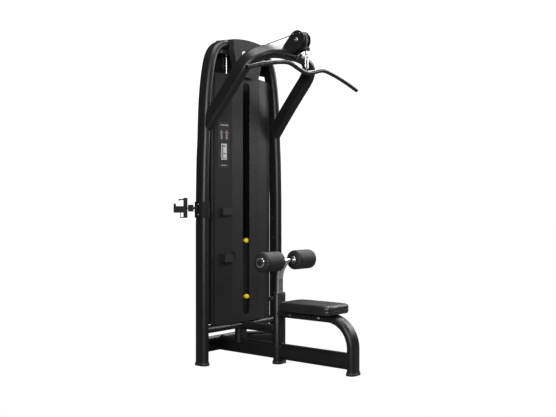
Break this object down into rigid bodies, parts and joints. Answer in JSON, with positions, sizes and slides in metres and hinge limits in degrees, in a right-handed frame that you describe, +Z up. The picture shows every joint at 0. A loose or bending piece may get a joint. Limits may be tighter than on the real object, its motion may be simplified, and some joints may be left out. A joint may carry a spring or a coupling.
{
  "type": "lat pulldown machine",
  "caption": "Selectorised lat pulldown machine: oval-tube frame, covered weight tower, cable over two pulleys to a wide bar, seat, thigh rollers and side holder.",
  "frame": {"origin": "middle of the overall box, at floor level", "axes": "+Z up; -Y towards the user's seat and the front leg; +X to the seated user's left"},
  "size_m": [1.2166, 1.251, 2.277],
  "materials": {
    "frame_paint": "satin black powder coat",
    "cover_grey": "matte dark grey",
    "foot_plastic": "black plastic",
    "black_plastic": "satin black",
    "bright_metal": "bright plated",
    "black_rubber": "matte black",
    "foam_cover": "dark grey foam cover",
    "seat_vinyl": "black upholstery vinyl",
    "plate_steel": "black painted plate",
    "yellow_plastic": "yellow",
    "cable_sheath": "black sheathed cable"
  },
  "bodies": {
    "frame": {"arch_frame": "frame_paint", "pulldown_arm": "frame_paint", "base_beam_rear": "frame_paint", "base_beam_front": "frame_paint", "rear_cross_tube": "frame_paint", "centre_post": "frame_paint", "seat_frame_tube": "frame_paint", "tower_column": "frame_paint", "lower_crossbar": "frame_paint", "tie_tube": "frame_paint", "top_crossbar": "frame_paint", "tower_pulley_bracket": "frame_paint", "front_bracket_left": "frame_paint", "front_bracket_right": "frame_paint", "holder_clamp": "frame_paint", "front_shroud": "cover_grey", "rear_shroud": "cover_grey", "crown_cover": "cover_grey", "left_foot": "foot_plastic", "right_foot": "foot_plastic", "centre_foot": "foot_plastic", "end_foot": "foot_plastic", "exercise_placard": "black_plastic", "upper_side_hook": "black_plastic", "lower_side_hook": "black_plastic", "post_bushing": "black_plastic", "front_pulley_axle": "black_plastic", "left_guide_rod": "bright_metal", "right_guide_rod": "bright_metal", "tower_pulley_axle": "bright_metal", "seat_bolt_front": "bright_metal", "seat_bolt_rear": "bright_metal", "pop_pin_barrel": "bright_metal", "left_stack_bumper": "black_rubber", "right_stack_bumper": "black_rubber", "seat_pad": "seat_vinyl", "resting_plates": "plate_steel", "cable_over_pulleys": "cable_sheath"},
    "stack": {"head_plate": "plate_steel", "head_plate_knob": "yellow_plastic", "selector_stem": "bright_metal", "lifted_plates": "plate_steel", "stack_cable_run": "cable_sheath"},
    "pin": {"stack_pin": "yellow_plastic"},
    "cable_end": {"cable_stopper": "black_rubber", "cable_end_fitting": "bright_metal", "bar_cable_run": "cable_sheath"},
    "hook": {"snap_hook": "bright_metal"},
    "bar": {"lat_bar": "frame_paint"},
    "tower_wheel": {"tower_pulley": "black_plastic"},
    "front_wheel": {"front_pulley": "black_plastic"},
    "roller_carriage": {"roller_post": "bright_metal", "roller_rod": "bright_metal", "left_roller_cap": "bright_metal", "right_roller_cap": "bright_metal"},
    "left_roller": {"left_foam_roller": "foam_cover"},
    "right_roller": {"right_foam_roller": "foam_cover"},
    "pop_pin": {"pop_pin_knob": "black_plastic"},
    "swing_arm": {"holder_arm": "frame_paint"},
    "cradle": {"holder_cradle": "frame_paint"}
  },
  "joints": [
    {"name": "stack_lift", "type": "slide", "parent": "frame", "child": "stack", "axis": [0, 0, 1], "range_m": [0, 0.8], "deforming": ["stack_cable_run"]},
    {"name": "pin_pull", "type": "slide", "parent": "stack", "child": "pin", "axis": [0, -1, 0], "range_m": [0, 0.08]},
    {"name": "bar_pull", "type": "slide", "parent": "frame", "child": "cable_end", "axis": [0, 0, -1], "range_m": [0, 0.8], "deforming": ["bar_cable_run"]},
    {"name": "hook_swivel", "type": "hinge", "parent": "cable_end", "child": "hook", "pos_m": [0, -0.2125, 2.101], "axis": [0, 0, 1], "range_deg": [-20, 20]},
    {"name": "bar_tilt", "type": "hinge", "parent": "hook", "child": "bar", "pos_m": [0, -0.2125, 2.014], "axis": [0, 1, 0], "range_deg": [-10, 10]},
    {"name": "tower_pulley_turn", "type": "hinge", "parent": "frame", "child": "tower_wheel", "pos_m": [0, 0.3665, 2.148], "axis": [1, 0, 0], "continuous": true},
    {"name": "front_pulley_turn", "type": "hinge", "parent": "frame", "child": "front_wheel", "pos_m": [0, -0.1545, 2.212], "axis": [1, 0, 0], "continuous": true},
    {"name": "roller_height", "type": "slide", "parent": "frame", "child": "roller_carriage", "axis": [0, 0, 1], "range_m": [-0.08, 0.08]},
    {"name": "left_roller_turn", "type": "hinge", "parent": "roller_carriage", "child": "left_roller", "pos_m": [-0.174, -0.0345, 0.714], "axis": [1, 0, 0], "continuous": true},
    {"name": "right_roller_turn", "type": "hinge", "parent": "roller_carriage", "child": "right_roller", "pos_m": [0.174, -0.0345, 0.714], "axis": [1, 0, 0], "continuous": true},
    {"name": "pop_pin_pull", "type": "slide", "parent": "frame", "child": "pop_pin", "axis": [0, 1, 0], "range_m": [0, 0.012], "stiffness_N_per_m": 800, "springref_m": -0.004},
    {"name": "holder_swing", "type": "hinge", "parent": "frame", "child": "swing_arm", "pos_m": [-0.452, 0.3855, 1.075], "axis": [0, 0, 1], "range_deg": [-40, 40]},
    {"name": "cradle_tilt", "type": "hinge", "parent": "swing_arm", "child": "cradle", "pos_m": [-0.50503, 0.43853, 1.075], "axis": [-0.7071, 0.7071, 0], "range_deg": [-25, 25]}
  ],
  "couplings": [
    {"joint": "bar_pull", "follows": "stack_lift", "ratio": 1},
    {"joint": "tower_pulley_turn", "follows": "stack_lift", "rad_per_m": 22.727},
    {"joint": "front_pulley_turn", "follows": "stack_lift", "rad_per_m": 17.241}
  ]
}
